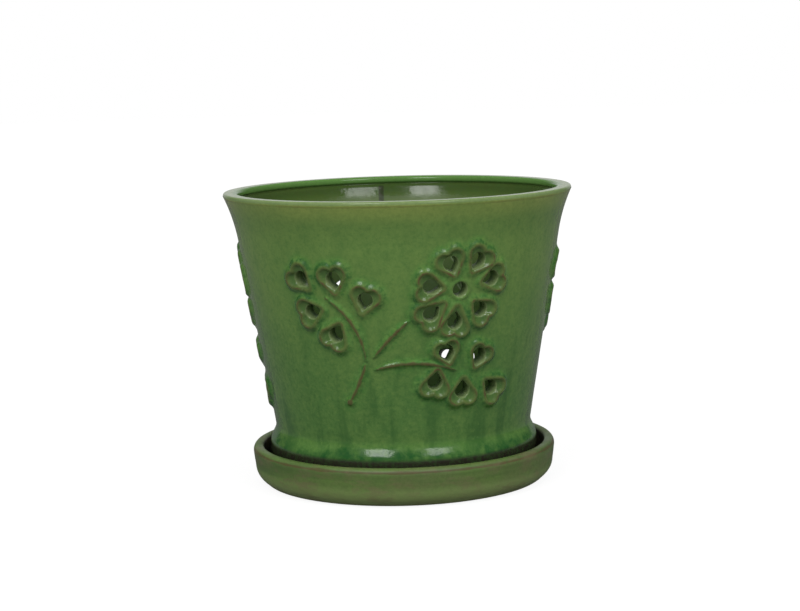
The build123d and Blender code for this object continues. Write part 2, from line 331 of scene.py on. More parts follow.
def slot_outline():
    """Teardrop with its point down."""
    reach = SLOT_RADIUS + SLOT_POINT
    lean = asin(SLOT_RADIUS / reach)
    tip = rounded_tip(SLOT_CENTRE - reach, lean, SLOT_ROUND)
    return tip + arc_points((0, SLOT_CENTRE), SLOT_RADIUS, -lean, pi + lean, SLOT_POINTS)


def leaf_places(middle):
    """Every petal and leaf of the motif about a middle height."""
    places = []
    for aim, reach, point in PETALS:
        height = middle + FLOWER[1] + reach * sin(radians(aim)) * cos(CONE_LEAN)
        azimuth = FLOWER[0] + degrees(reach * cos(radians(aim)) / cone_radius(height))
        places.append(Place(azimuth, height, aim, 1.0, point))
    for leaves, share in ((LEAVES, 1.0), (SMALL_LEAVES, SMALL_SHARE)):
        for azimuth, height, aim in leaves:
            places.append(Place(azimuth, middle + height, aim, share, HEART_TIP))
    return places


def outline_distance(x, y, outline):
    """Signed distance of points from a closed outline, negative inside, and the nearest places on it."""
    points = np.stack([x.ravel(), y.ravel()], 1)[:, None]
    run = np.roll(outline, -1, 0) - outline
    share = np.clip(((points - outline) * run).sum(2) / (run * run).sum(1), 0, 1)
    near = outline + share[..., None] * run
    gap = np.hypot(*np.moveaxis(points - near, 2, 0))
    best = gap.argmin(1)
    rows = np.arange(len(best))
    above = outline[:, 1] > points[..., 1]
    crossing = above != np.roll(above, -1, 1)
    with np.errstate(divide="ignore", invalid="ignore"):
        meet = outline[:, 0] + (points[..., 1] - outline[:, 1]) / run[:, 1] * run[:, 0]
    inside = (crossing & (points[..., 0] < meet)).sum(1) % 2 == 1
    signed = np.where(inside, -1, 1) * gap[rows, best]
    return signed.reshape(x.shape), near[rows, best].reshape(*x.shape, 2)


def snapped_sides(distance, fixed):
    """Sides of an outline: -1 inside, 1 outside, 0 where a grid point has to move onto it."""
    side = np.where(distance < 0, -1, 1)
    high, wide = side.shape
    for flat in np.argsort(np.abs(distance), axis=None):
        i, j = divmod(int(flat), wide)
        if abs(distance[i, j]) > ROW_STEP:
            break
        around = ((i - 1, j), (i + 1, j), (i, j - 1), (i, j + 1))
        crossed = any(0 <= p < high and 0 <= q < wide and side[p, q] * side[i, j] < 0 for p, q in around)
        if crossed and not fixed[i, j]:
            side[i, j] = 0
    return side


class Relief:
    """Fields of one motif on the grid of the wall: shifts onto the outlines, sides, distances and heights."""

    def __init__(self, rows, middle):
        self.radius = rows[:, 0][:, None]
        self.slant = run_lengths(rows)[:, None]
        self.angle = ((np.arange(MOTIF_COLUMNS) / MOTIF_COLUMNS - 0.5) * 2 * pi / MOTIF_COUNT)[None]
        shape = (len(rows), MOTIF_COLUMNS)
        self.shift = np.zeros((*shape, 2))
        self.slot_side = np.ones(shape, int)
        self.heart_side = np.ones(shape, int)
        self.slot_number = np.full(shape, -1)
        self.heart, self.slot, self.stem, self.eye = (np.full(shape, FAR) for _ in range(4))
        self.along = np.zeros(shape)
        places = leaf_places(middle)
        hearts = [Form(place.azimuth, place.height,
                       turned_outline(heart_outline(place.share, place.point), place.aim))
                  for place in places]
        circle = arc_points((0, 0), EYE_RADIUS, 0, 2 * pi, EYE_POINTS + 1)[:-1]
        eye = Form(FLOWER[0], middle + FLOWER[1], np.array(circle))
        self.slots = [Form(place.azimuth, place.height, turned_outline(slot_outline(), place.aim))
                      for place in places] + [eye]
        self.snap(self.slots, self.slot_side, self.slot_number)
        self.snap(hearts, self.heart_side)
        self.measure(self.slots, self.slot)
        self.measure(hearts, self.heart, [place.aim for place in places])
        self.measure_stems(middle)
        self.measure([eye], self.eye)
        self.rise = self.raise_wall()

    def local(self, azimuth, height):
        """Distances round and up the wall from a place on it."""
        x = (self.angle - radians(azimuth)) * self.radius + self.shift[..., 0]
        y = self.slant - (height - CONE_START_HEIGHT) / cos(CONE_LEAN) + self.shift[..., 1]
        return x, y

    def windows(self, forms, reach):
        """Each form with the part of the grid within reach of it."""
        for number, form in enumerate(forms):
            x, y = self.local(form.azimuth, form.height)
            near = (np.abs(x) < reach) & (np.abs(y) < reach)
            i, j = np.flatnonzero(near.any(1)), np.flatnonzero(near.any(0))
            window = np.s_[i[0]:i[-1] + 1, j[0]:j[-1] + 1]
            yield number, window, x[window], y[window], form.outline

    def snap(self, forms, side, numbers=None):
        """Move the grid points beside each outline onto it."""
        for number, window, x, y, outline in self.windows(forms, SNAP_REACH):
            distance, near = outline_distance(x, y, outline)
            fixed = (self.slot_side[window] < 1) if numbers is None else np.zeros(x.shape, bool)
            found = snapped_sides(distance, fixed)
            moved = found == 0
            self.shift[window][moved] += np.stack([near[..., 0] - x, near[..., 1] - y], 2)[moved]
            side[window][found < 1] = found[found < 1]
            if numbers is not None:
                numbers[window][found < 1] = number

    def measure(self, forms, field, aims=()):
        """Keep the least signed distance from outlines, and for aimed ones the place from tip to lobes."""
        for number, window, x, y, outline in self.windows(forms, MEASURE_REACH):
            distance = outline_distance(x, y, outline)[0]
            nearer = distance < field[window]
            field[window][nearer] = distance[nearer]
            if aims:
                turn = radians(aims[number])
                self.along[window][nearer] = (x * cos(turn) + y * sin(turn))[nearer]

    def measure_stems(self, middle):
        """Distance from the nearest stem's middle line, growing past its thin ends."""
        for start, end, bow in STEMS:
            azimuth, height = (start[0] + end[0]) / 2, middle + (start[1] + end[1]) / 2
            run = radians(end[0] - start[0]) * cone_radius(height)
            climb = (end[1] - start[1]) / cos(CONE_LEAN)
            half = hypot(run, climb) / 2
            x, y = self.local(azimuth, height)
            forward = (x * run + y * climb) / (2 * half)
            aside = (x * climb - y * run) / (2 * half)
            share = np.clip(forward / half, -1, 1)
            off = np.hypot(aside + bow * (1 - share ** 2), forward - share * half)
            thin = 1 - STEM_TAPER * np.abs(share) ** 3
            self.stem = np.minimum(self.stem, off / thin)
        x, y = self.local(KNOB[0], middle + KNOB[1])
        self.stem = np.minimum(self.stem, np.clip(np.hypot(x, y) - KNOB_RADIUS, 0, None))

    def raise_wall(self):
        """Rise of the relief over the plain wall."""
        crest = np.exp(-(self.heart / np.where(self.heart > 0, SKIRT_HALF_WIDTH, CREST_HALF_WIDTH)) ** 2)
        top = HEART_RISE * (1 - TIP_LOSS * smooth(*TIP_SPAN, self.along))
        from_slot = np.clip(self.slot, 0, None)
        share = from_slot / (from_slot + np.abs(self.heart) + 1e-6)
        dish = -DISH_DEPTH + (DISH_EDGE + DISH_DEPTH) * share
        rise = top * np.where(self.heart > 0, crest, crest + (1 - crest) * dish)
        stem = STEM_RISE * np.exp(-(self.stem / STEM_HALF_WIDTH) ** 2)
        ring = EYE_RING_RISE * np.exp(-((self.eye - EYE_RING_REACH) / EYE_RING_HALF_WIDTH) ** 2)
        return np.maximum(rise, np.maximum(stem, np.where(self.heart > 0, ring, -FAR)))


def joined(reliefs, title):
    """One field of all the motifs, side by side round the pot."""
    return np.concatenate([getattr(relief, title) for relief in reliefs], 1)


def wobble(azimuth, height):
    """Small inward unevenness of a hand-finished wall."""
    waves = [strength * (np.sin(count * azimuth + climb * height + start) - 1)
             for strength, count, climb, start in WOBBLE_WAVES]
    return WOBBLE * sum(waves) * smooth(*WOBBLE_HEIGHTS, height)


def notch_shares(azimuth):
    """How far each column of the grid lies in a drain notch of the stand ring, from 0 to 1."""
    shares = np.zeros(len(azimuth))
    for number in range(NOTCH_COUNT):
        away = np.angle(np.exp(1j * (azimuth - radians(NOTCH_START + 360.0 * number / NOTCH_COUNT))))
        past_edge = np.abs(away) * STAND_RADIUS - NOTCH_WIDTH / 2
        shares = np.maximum(shares, 1 - smooth(-NOTCH_EASE, NOTCH_EASE, past_edge))
    return shares


def pot_points(section, reliefs):
    """Grid of points of the whole pot, one row of the section after another."""
    profile, outer, inner, wall = section
    tangent = np.roll(profile, -1, 0) - np.roll(profile, 1, 0)
    tangent /= np.hypot(*tangent.T)[:, None]
    normal = np.stack([tangent[:, 1], -tangent[:, 0]], 1)
    azimuth = radians(-180 / MOTIF_COUNT) + 2 * pi * np.arange(COLUMNS) / COLUMNS
    turn = np.repeat(azimuth[None], len(profile), 0)
    spots = np.repeat(profile[:, None], COLUMNS, 1)
    shift, rise = joined(reliefs, "shift"), joined(reliefs, "rise")
    spots[wall] += tangent[wall, None] * shift[..., 1:] + normal[wall, None] * rise[..., None]
    turn[wall] += shift[..., 0] / profile[wall, None, 0]
    cone_shift = shift[:outer.stop - outer.start]
    spots[inner] += (tangent[outer, None] * cone_shift[..., 1:])[::-1]
    turn[inner] += (cone_shift[..., 0] / profile[outer, None, 0])[::-1]
    radius = spots[..., 0] + wobble(turn, spots[..., 1])
    height = spots[..., 1]
    height = np.where(height < NOTCH_HEIGHT, np.maximum(height, NOTCH_HEIGHT * notch_shares(azimuth)), height)
    return np.stack([radius * np.sin(turn), -radius * np.cos(turn), height + BASE], 2)


def pot_masks(section, reliefs):
    """Distances from the forms of the relief, and how far each point is inside the pot, on the whole grid."""
    shape = (len(section.points), COLUMNS)
    masks = {title: np.full(shape, FAR) for title in MASKS[:3]}
    for title in masks:
        masks[title][section.wall] = joined(reliefs, title)
    masks["slot"][section.inner] = masks["slot"][section.outer][::-1]
    radius, height = section.points.T
    inward = smooth(*(RIM_RADIUS - share * LIP_THICKNESS for share in INSIDE_START), radius)
    past_lip = np.arange(len(radius)) >= np.argmax(height)
    masks["inside"] = np.repeat(np.where(past_lip, inward, 0.0)[:, None], COLUMNS, 1)
    return masks


def split_cell(cell, fields):
    """A cell of the grid, or its two triangles where an outline runs along a diagonal."""
    for field in fields:
        a, b, c, d = (field[spot] for spot in cell)
        if b == d == 0 and a * c < 0:
            return [(cell[0], cell[1], cell[3]), (cell[1], cell[2], cell[3])]
        if a == c == 0 and b * d < 0:
            return [(cell[0], cell[1], cell[2]), (cell[0], cell[2], cell[3])]
    return [cell]


def wall_cells(reliefs, cone):
    """Polygons of the pierced wall as row and column pairs, and those that the slots take away."""
    slot, heart = joined(reliefs, "slot_side"), joined(reliefs, "heart_side")
    kept, cut = [], []
    for i in range(cone - 1):
        for j in range(COLUMNS):
            k = (j + 1) % COLUMNS
            cell = ((i, j), (i, k), (i + 1, k), (i + 1, j))
            for part in split_cell(cell, (slot, heart)):
                sides = [slot[spot] for spot in part]
                pierced = min(sides) < 0 or (max(sides) == 0 and inside_slot(reliefs, part))
                (cut if pierced else kept).append(part)
    return kept, cut


def inside_slot(reliefs, part):
    """Whether the middle of a cell whose corners all lie on slot outlines is open."""
    relief = reliefs[part[0][1] // MOTIF_COLUMNS]
    spots = [(i, j % MOTIF_COLUMNS) for i, j in part]
    numbers = {relief.slot_number[spot] for spot in spots}
    if len(numbers) > 1:
        return False
    form = relief.slots[numbers.pop()]
    fields = relief.local(form.azimuth, form.height)
    x, y = (np.array([np.mean([field[spot] for spot in spots])]) for field in fields)
    return outline_distance(x, y, form.outline)[0][0] < 0


def ring_cells(low, high, count):
    """Polygons between two rings of points, given by the number of each ring's first point."""
    columns = np.arange(count)
    after = (columns + 1) % count
    return np.stack([low + columns, low + after, high + after, high + columns], 1).tolist()


def plain_cells(section):
    """Polygons of the pot outside its two conical walls."""
    rows = len(section.points)
    cells = []
    for row in range(rows):
        if any(wall.start <= row < wall.stop - 1 for wall in (section.outer, section.inner)):
            continue
        cells += ring_cells(row * COLUMNS, (row + 1) % rows * COLUMNS, COLUMNS)
    return cells


def outer_point(section, spot):
    """Number of the point at a row and column of the outer conical wall."""
    return (section.outer.start + spot[0]) * COLUMNS + spot[1]


def inner_point(section, spot):
    """Number of the point behind a row and column of the outer conical wall."""
    return (section.inner.stop - 1 - spot[0]) * COLUMNS + spot[1]


def slot_middle(reliefs, spot, share):
    """Point in the middle of the slot whose outline holds a spot, a share of the way through the wall."""
    number, column = divmod(spot[1], MOTIF_COLUMNS)
    relief = reliefs[number]
    form = relief.slots[relief.slot_number[spot[0], column]]
    turn = radians(form.azimuth + 360.0 / MOTIF_COUNT * number)
    reach = cone_radius(form.height) - share * WALL * cos(CONE_LEAN)
    height = form.height + BASE + share * WALL * sin(CONE_LEAN)
    return np.array([reach * sin(turn), -reach * cos(turn), height])


def slot_walls(section, reliefs, cut, points, values):
    """Polygons of the walls of all slots, with their own points added to the points and masks."""
    edges = [(a, b) for part in cut for a, b in zip(part, part[1:] + part[:1])]
    open_edges = sorted(set(edges) - {(b, a) for a, b in edges})
    columns = {}
    for spot in sorted({spot for edge in open_edges for spot in edge}):
        ends = outer_point(section, spot), inner_point(section, spot)
        near, far = (np.array(points[end]) for end in ends)
        columns[spot] = [ends[0]]
        for share, pinch in SLOT_ROWS:
            at = near + (far - near) * share
            inward = slot_middle(reliefs, spot, share) - at
            columns[spot].append(len(points))
            points.append((at + pinch * inward / np.linalg.norm(inward)).tolist())
            for title, value in zip(MASKS, (SLOT_HEART, -share * WALL, FAR, share)):
                values[title].append(value)
        columns[spot].append(ends[1])
    cells = []
    for a, b in open_edges:
        for step in range(len(SLOT_ROWS) + 1):
            cells.append([columns[a][step], columns[b][step], columns[b][step + 1], columns[a][step + 1]])
    return cells


def build_mesh(name, points, polygons, masks):
    """Smooth mesh in metres with float masks on its points."""
    mesh = bpy.data.meshes.new(name)
    mesh.from_pydata((np.array(points) * MM).tolist(), [], polygons)
    mesh.update()
    mesh.shade_smooth()
    for title, values in masks.items():
        mesh.attributes.new(title, "FLOAT", "POINT").data.foreach_set("value", np.array(values, np.float32))
    piece = bpy.data.objects.new(name, mesh)
    bpy.context.scene.collection.objects.link(piece)
    return piece


def build_pot():
    """Pot with relief and open slots as one closed mesh."""
    section = pot_section()
    reliefs = [Relief(section.points[section.wall], MOTIF_HEIGHT - drop) for drop in MOTIF_DROPS]
    points = pot_points(section, reliefs).reshape(-1, 3).tolist()
    values = {title: field.ravel().tolist() for title, field in pot_masks(section, reliefs).items()}
    kept, cut = wall_cells(reliefs, section.outer.stop - section.outer.start)
    polygons = plain_cells(section)
    for part in kept:
        polygons.append([outer_point(section, spot) for spot in part])
        polygons.append([inner_point(section, spot) for spot in reversed(part)])
    polygons += slot_walls(section, reliefs, cut, points, values)
    return build_mesh("pot_glazed", points, polygons, values)


def saucer_profile():
    """Section of the saucer from the middle of its underside round to the middle of its floor."""
    corners = [(SAUCER_RADIUS - inset, height, ease) for inset, height, ease in SAUCER_CORNERS]
    under, floor = ((SAUCER_MIDDLE, corner[1], 0) for corner in (corners[0], corners[-1]))
    return eased_run([under, *corners, floor], SAUCER_STEP)


def build_saucer():
    """Shallow dish turned from its section, with faint throwing marks and a slightly uneven side and edge."""
    profile = saucer_profile()
    rows, columns = len(profile), np.arange(SAUCER_COLUMNS)
    turn = 2 * pi * columns / SAUCER_COLUMNS
    radius = np.repeat(profile[:, :1], SAUCER_COLUMNS, 1)
    height = np.repeat(profile[:, 1:], SAUCER_COLUMNS, 1)
    marks = THROWING_MARK * (np.sin(height * 0.9 + 0.5 * np.sin(turn + 0.4)) - 1)
    oval = SAUCER_OVAL * (np.sin(2 * turn + 1.1) - 1)
    warp = SAUCER_WARP * (np.sin(2 * turn + 2.2) + 0.5 * np.sin(3 * turn) - 1.5)
    radius = radius + smooth(*SAUCER_OUTSIDE, radius) * (marks + oval)
    height = height + smooth(*SAUCER_WARP_HEIGHTS, height) * warp
    grid = np.stack([radius * np.sin(turn), -radius * np.cos(turn), height], 2).reshape(-1, 3)
    polygons = []
    for row in range(rows - 1):
        polygons += ring_cells(row * SAUCER_COLUMNS, (row + 1) * SAUCER_COLUMNS, SAUCER_COLUMNS)
    after = (columns + 1) % SAUCER_COLUMNS
    top = (rows - 1) * SAUCER_COLUMNS
    under_middle = np.full_like(columns, rows * SAUCER_COLUMNS)
    polygons += np.stack([under_middle, after, columns], 1).tolist()
    polygons += np.stack([under_middle + 1, top + columns, top + after], 1).tolist()
    points = grid.tolist() + [[0, 0, profile[0, 1]], [0, 0, profile[-1, 1]]]
    return build_mesh("saucer_glazed", points, polygons, {})


def paint(red, green, blue):
    """Linear colour from screen values of 0 to 255."""
    def linear(value):
        share = value / 255
        return share / 12.92 if share <= 0.04045 else ((share + 0.055) / 1.055) ** 2.4
    return (linear(red), linear(green), linear(blue), 1.0)


class Shader:
    """Nodes of a material or world, with short calls for the kinds used here."""

    def __init__(self, owner):
        self.owner = owner
        owner.use_nodes = True
        self.nodes, self.links = owner.node_tree.nodes, owner.node_tree.links

    def put(self, socket, value):
        """Set a socket to a number or colour, or link it."""
        if isinstance(value, bpy.types.NodeSocket):
            self.links.new(value, socket)
        else:
            socket.default_value = value

    def node(self, kind, inputs=(), **settings):
        """New node with its settings and inputs."""
        made = self.nodes.new(kind)
        for key, value in settings.items():
            setattr(made, key, value)
        for key, value in dict(inputs).items():
            self.put(made.inputs[key], value)
        return made

    def math(self, operation, first, second=0.0, clamp=False):
        """Result of a math node."""
        made = self.node("ShaderNodeMath", {0: first, 1: second}, operation=operation, use_clamp=clamp)
        return made.outputs[0]

    def times(self, first, *others):
        """Product of values."""
        for other in others:
            first = self.math("MULTIPLY", first, other)
        return first

    def wander(self, value, pattern, width):
        """Value moved up and down by a pattern, over a width in all."""
        return self.math("ADD", value, self.math("MULTIPLY", self.math("SUBTRACT", pattern, 0.5), width))

    def step(self, value, low, high, start=0.0, end=1.0, kind="SMOOTHSTEP"):
        """Step of a value between two limits, soft unless it is linear."""
        limits = {"Value": value, "From Min": low, "From Max": high, "To Min": start, "To Max": end}
        return self.node("ShaderNodeMapRange", limits, interpolation_type=kind).outputs["Result"]

    def mix(self, share, first, second):
        """Colour between two colours."""
        made = self.node("ShaderNodeMix", data_type="RGBA")
        for number, value in ((0, share), (6, first), (7, second)):
            self.put(made.inputs[number], value)
        return made.outputs[2]

    def cover(self, colour, over, *shares):
        """Colour with another laid over it, as far as the product of the shares says."""
        return self.mix(self.times(*shares), colour, over)

    def mask(self, title):
        """Mask on the points of the mesh."""
        return self.node("ShaderNodeAttribute", attribute_name=title).outputs["Fac"]

    def coordinates(self):
        """Place on the object in metres."""
        return self.node("ShaderNodeTexCoord").outputs["Object"]

    def place(self, axis):
        """Object coordinate along X, Y or Z in millimetres."""
        split = self.node("ShaderNodeSeparateXYZ", {0: self.coordinates()})
        return self.math("DIVIDE", split.outputs[axis], MM)

    def noise(self, scale, detail, rough, stretch=(1, 1, 1)):
        """Soft random pattern from 0 to 1, in patches of about one over the scale in metres."""
        place = self.node("ShaderNodeMapping", {"Vector": self.coordinates(), "Scale": stretch})
        made = self.node("ShaderNodeTexNoise", {"Vector": place.outputs[0], "Scale": scale, "Detail": detail,
                                                "Roughness": rough})
        return made.outputs["Fac"]

    def bump(self, height, distance, strength, below=None):
        """Normal of a fine unevenness, alone or on top of another."""
        inputs = {"Height": height, "Distance": distance, "Strength": strength}
        if below is not None:
            inputs["Normal"] = below
        return self.node("ShaderNodeBump", inputs).outputs["Normal"]


class Glaze(Shader):
    """Glaze of one piece, whose layers start and end at heights above the table."""

    def __init__(self, name):
        super().__init__(bpy.data.materials.new(name))
        self.height = self.place("Z")

    def at(self, limits, start=0.0, end=1.0):
        """Soft step between two heights."""
        return self.step(self.height, *limits, start, end)

    def coat(self, colour, roughness, normal):
        """Glaze on the whole surface."""
        surface = self.nodes["Principled BSDF"].inputs
        self.put(surface["Base Color"], colour)
        self.put(surface["Roughness"], roughness)
        self.put(surface["IOR"], GLAZE_IOR)
        self.put(surface["Normal"], normal)


# Glaze colours, with the colours of painted light and shade among them
OLIVE = paint(112, 143, 72)
LEAF_GREEN = paint(80, 121, 59)
DEEP_GREEN = paint(54, 96, 44)
BRIGHT_GREEN = paint(66, 124, 50)
FLECK_GREEN = paint(104, 150, 78)
BEAD_GREEN = paint(90, 130, 64)
POOL_GREEN = paint(26, 78, 36)
DISH_OLIVE = paint(84, 110, 57)
BREAK_BROWN = paint(92, 70, 42)
CREST_OLIVE = paint(102, 108, 58)
# painted highlight band along the neck
NECK_HIGHLIGHT = paint(92, 132, 58)
# painted shade, dark brown, in the gap between the pot's foot and the saucer
GAP_SHADE_BROWN = paint(41, 39, 30)
THIN_PALE = paint(136, 154, 104)
LIP_OLIVE = paint(146, 164, 84)
# painted reflection on the top edge of the lip
LIP_REFLECTION = paint(120, 141, 92)
# painted light and shade on the inside: the lit colour, then the shaded one
INNER_LIT_OLIVE = paint(100, 122, 56)
INNER_SHADE = paint(46, 66, 26)
DARK_LINE = paint(46, 44, 34)
BARE_CLAY = paint(150, 118, 90)
SAUCER_GREEN = paint(96, 126, 60)
SAUCER_OLIVE = paint(100, 119, 65)
SAUCER_DARK = paint(66, 92, 42)
# painted bounce light on the saucer's lower side
SAUCER_BOUNCE_LIGHT = paint(148, 168, 104)
SAUCER_THIN = paint(116, 106, 76)
GLAZE_IOR = 1.5
# Fine unevenness of each glaze: depth in metres and strength
POT_SKIN = (0.0006, 0.25)
POT_GRAIN = (0.0001, 0.25)
SAUCER_SKIN = (0.0005, 0.25)
SAUCER_GRAIN = (0.0001, 0.4)

# Heights above the table where each layer of the pot's glaze and of its painted light and shade starts and
# where it is full
LOW_WALL = (165, 50)
LOW_STREAKS = (120, 50)
CALM_WALL = (60, 130)
NECK_LIGHT = (44, 35)
FOOT_POOL = (34.5, 29)
FOOT_SHADE_BAND = (27.6, 24.8)
UNDER_LIP = (165, 179)
LIP_EDGE = (178.3, 179.2)
INNER_LIGHT_TOP = (174, 160)
INNER_LIGHT_FOOT = (110, 156)
INNER_DULL = (170, 166)
BEAD = (176.0, 177.5)
DARK_LINE_FOOT = (150, 160)
DARK_LINE_TOP = (175.5, 174.5)
STAND_CLAY = (BASE + 1.2, BASE + 0.6)
# Height above the table of the line where the glaze breaks under the lip's edge, and distances from that line
LIP_LINE_HEIGHT = 177.8
LIP_LINE = (1.0, 0.2)
# Distances from the outlines and stems of the relief
HALO = (8.0, 0.8)
FLECKS = (7.0, 1.0)
HEART_POOL = (4.0, 2.2)
HEART_DISH = (0.3, -1.2)
HEART_CREST = (2.0, 0.4)
HEART_GLOSS = (5.0, 2.0)
WORN_CREST = (0.6, -0.2)
WORN_STEM = (1.4, 0.3)
SLOT_EDGE = (0.6, -0.3)
# painted shade deep inside the slots
SLOT_SHADE_DEPTH = (-3.0, -6.5)
# Distances behind the pot's axis, over which the painted light inside grows towards the far wall and past
# which the dark line lies
FAR_WALL = (20, 75)
BACK_HALF = (0, 1)
# Distance of the dark vertical line inside the far wall to the left of the middle, and distances from the
# line
DARK_LINE_OFFSET = 10.6
DARK_LINE_SIDES = (2.2, 1.2)
# The saucer's line of broken glaze, the painted shade in its hollow round the pot, its bare ring and the
# painted bounce light on its lower side
SAUCER_LINE_HEIGHT = SAUCER_HEIGHT - 2.2
SAUCER_LINE = (1.0, 0.3)
HOLLOW_RADII = (SAUCER_RADIUS - 5.6, SAUCER_RADIUS - 7.2)
HOLLOW_HEIGHTS = (SAUCER_HEIGHT - 0.6, SAUCER_HEIGHT - 2.2)
SAUCER_CLAY = (0.9, 0.4)
SAUCER_BOUNCE_HEIGHTS = (14, 2)


class PotGlaze(Glaze):
    """Glossy green glaze that thins to brown on the edges of the relief and pools dark at the foot, with
    painted light and shade on the neck, the foot above the saucer, the slots, the lip and the inside.

    Every layer lies over those before it. A step on a pattern gives its two limits and the shares there."""

    def __init__(self):
        super().__init__("pot_glaze")
        self.heart, self.slot, self.stem, self.inside = (self.mask(title) for title in MASKS)
        self.outside = self.math("SUBTRACT", 1.0, self.inside, True)
        self.crest = self.math("ABSOLUTE", self.heart)
        self.cloud = self.noise(26, 4, 0.6)
        self.mottle = self.noise(110, 4, 0.65)
        self.streak = self.noise(60, 3, 0.55, (1, 1, 0.10))
        self.grain = self.noise(420, 4, 0.7)
        self.breakup = self.noise(260, 3, 0.6)
        self.calm = self.at(CALM_WALL, 1.0, 0.6)
        self.worn = self.worn_edges()
        colour = self.wall()
        for layer in (self.near_relief, self.relief, self.foot, self.inner_wall, self.lip, self.finish):
            colour = layer(colour)
        skin = self.bump(self.noise(160, 3, 0.5), *POT_SKIN)
        self.coat(colour, self.roughness(), self.bump(self.grain, *POT_GRAIN, skin))

    def worn_edges(self):
        """How far the glaze is broken away on the crests of the hearts and on the stems."""
        wear = self.step(self.noise(85, 2, 0.5), 0.42, 0.58, 0.15, 1.0)
        crests = self.times(self.step(self.wander(self.crest, self.breakup, 2.2), *WORN_CREST), wear)
        stems = self.step(self.wander(self.stem, self.breakup, 2.2), *WORN_STEM, 0.0, 0.8)
        return self.math("MAXIMUM", crests, stems)

    def wall(self):
        """Clouded wall, greener and more streaked towards the foot, with dark and pale specks."""
        clouds = self.step(self.cloud, 0.35, 0.65, 0.0, 0.22)
        low = self.math("ADD", self.at(LOW_WALL, -0.1, 0.5), clouds)
        low = self.math("ADD", low, self.step(self.mottle, 0.3, 0.7, 0.0, 0.25), True)
        colour = self.mix(low, OLIVE, LEAF_GREEN)
        streaks = self.step(self.streak, 0.46, 0.62)
        colour = self.cover(colour, DEEP_GREEN, streaks, self.at(LOW_STREAKS, 0.1, 0.7))
        speck = self.noise(330, 5, 0.8)
        colour = self.cover(colour, DEEP_GREEN, self.step(speck, 0.45, 0.66, 0.0, 0.45), self.calm)
        return self.cover(colour, OLIVE, self.step(speck, 0.46, 0.3, 0.0, 0.4), self.calm)

    def near_relief(self, colour):
        """Thicker, brighter glaze round the relief, with flecks, and dark pools beside the hearts."""
        around = self.math("MINIMUM", self.heart, self.stem)
        clouds = self.step(self.cloud, 0.25, 0.6, 0.35, 0.75)
        breaks = self.step(self.breakup, 0.38, 0.6, 0.3, 1.0)
        colour = self.cover(colour, BRIGHT_GREEN, self.step(around, *HALO), clouds, breaks)
        near = self.step(around, *FLECKS)
        fleck = self.noise(480, 3, 0.6)
        colour = self.cover(colour, FLECK_GREEN, near, self.step(fleck, 0.52, 0.66, 0.0, 0.5))
        colour = self.cover(colour, POOL_GREEN, near, self.step(fleck, 0.47, 0.34, 0.0, 0.45))
        clouds = self.step(self.cloud, 0.45, 0.62, 0.0, 0.6)
        breaks = self.step(self.breakup, 0.4, 0.6, 0.2, 1.0)
        return self.cover(colour, POOL_GREEN, self.step(self.heart, *HEART_POOL), clouds, breaks)

    def relief(self, colour):
        """Dished hearts with brown crests, brown stems, and slots with a pale edge and painted shade deep
        inside.
        """
        colour = self.cover(colour, DISH_OLIVE, self.step(self.heart, *HEART_DISH, 0.0, 0.7))
        colour = self.cover(colour, CREST_OLIVE, self.step(self.crest, *HEART_CREST, 0.0, 0.55))
        colour = self.cover(colour, BREAK_BROWN, self.worn)
        colour = self.cover(colour, THIN_PALE, self.step(self.slot, *SLOT_EDGE, 0.0, 0.75))
        # painted shade deep inside the slots
        return self.cover(colour, DEEP_GREEN, self.step(self.slot, *SLOT_SHADE_DEPTH))

    def foot(self, colour):
        """Painted highlight band on the neck, a ragged dark pool of glaze under it, and painted dark brown
        shade on the foot above the saucer.
        """
        # painted highlight band along the neck
        light = self.at(NECK_LIGHT, 0.0, 0.25)
        colour = self.cover(colour, NECK_HIGHLIGHT, light, self.step(self.streak, 0.6, 0.4), self.outside)
        edge = self.wander(self.wander(self.height, self.cloud, 14), self.breakup, 7)
        drips = self.step(self.mottle, 0.35, 0.65, 0.25, 0.9)
        colour = self.cover(colour, POOL_GREEN, self.step(edge, *FOOT_POOL), drips, self.outside)
        # painted shade on the foot, in the gap above the saucer
        return self.cover(colour, GAP_SHADE_BROWN, self.at(FOOT_SHADE_BAND), self.outside)

    def inner_wall(self, colour):
        """Olive under the lip, and the inside with painted shade under the bead and deep down and painted
        light high on the far wall, with a bead and a dark vertical line.
        """
        clouds = self.step(self.cloud, 0.3, 0.6, 0.45, 0.95)
        colour = self.cover(colour, LIP_OLIVE, self.at(UNDER_LIP), clouds)
        behind = self.place("Y")
        light = self.times(self.at(INNER_LIGHT_TOP), self.step(behind, *FAR_WALL, 0.35, 1.0),
                           self.at(INNER_LIGHT_FOOT, 0.1, 1.0))
        # painted light and shade on the inside
        colour = self.cover(colour, self.mix(light, INNER_SHADE, INNER_LIT_OLIVE), self.inside, 0.9)
        colour = self.cover(colour, BEAD_GREEN, self.inside, self.at(BEAD))
        # dark vertical line on the inside of the far wall
        aside = self.math("ABSOLUTE", self.math("ADD", self.place("X"), DARK_LINE_OFFSET))
        run = self.times(self.step(aside, *DARK_LINE_SIDES), self.at(DARK_LINE_FOOT, 0.0, 0.75), self.at(DARK_LINE_TOP))
        return self.cover(colour, DARK_LINE, run, self.inside, self.step(behind, *BACK_HALF))

    def lip(self, colour):
        """Painted reflection on the top edge of the lip, and the broken brown line under it."""
        # painted reflection on the lip's top edge
        colour = self.cover(colour, LIP_REFLECTION, self.at(LIP_EDGE, 0.0, 0.9), self.outside)
        away = self.math("ABSOLUTE", self.math("SUBTRACT", self.height, LIP_LINE_HEIGHT))
        line = self.step(self.wander(away, self.breakup, 1.5), *LIP_LINE, 0.0, 0.35)
        return self.cover(colour, BREAK_BROWN, line, self.outside, self.step(self.cloud, 0.35, 0.6, 0.4, 1.0))

